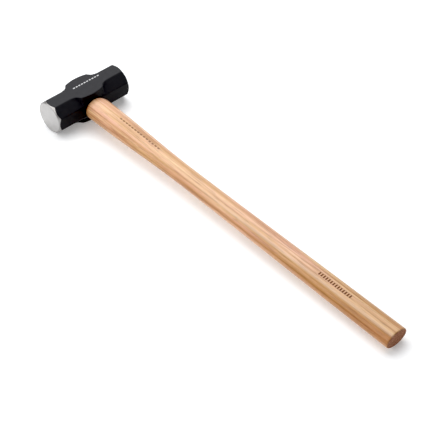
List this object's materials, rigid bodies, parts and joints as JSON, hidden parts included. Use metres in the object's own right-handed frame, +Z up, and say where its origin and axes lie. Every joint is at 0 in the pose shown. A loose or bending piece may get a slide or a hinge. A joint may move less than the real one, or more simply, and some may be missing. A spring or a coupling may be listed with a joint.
{
  "type": "sledge hammer",
  "caption": "Double-faced sledge hammer: an octagonal forged steel head with round, chamfered striking faces, wedged on a long oval hardwood handle.",
  "frame": {"origin": "middle of the head's lower cheek, which is the flat that the head lies on", "axes": "+X along the striking axis towards the right-hand striking face, +Y along the handle from the butt to the wedged end of the eye, +Z up through the two cheeks"},
  "size_m": [0.166, 0.813, 0.061],
  "materials": {
    "forging": "semi-gloss black paint over forged steel, with bare ground striking faces",
    "hickory": "clear satin varnish",
    "wedge_wood": "bare end grain",
    "wedge_steel": "bare steel"
  },
  "bodies": {
    "root": {"head": "forging", "handle": "hickory", "wood_wedge": "wedge_wood", "steel_wedge_left": "wedge_steel", "steel_wedge_right": "wedge_steel"}
  },
  "joints": []
}
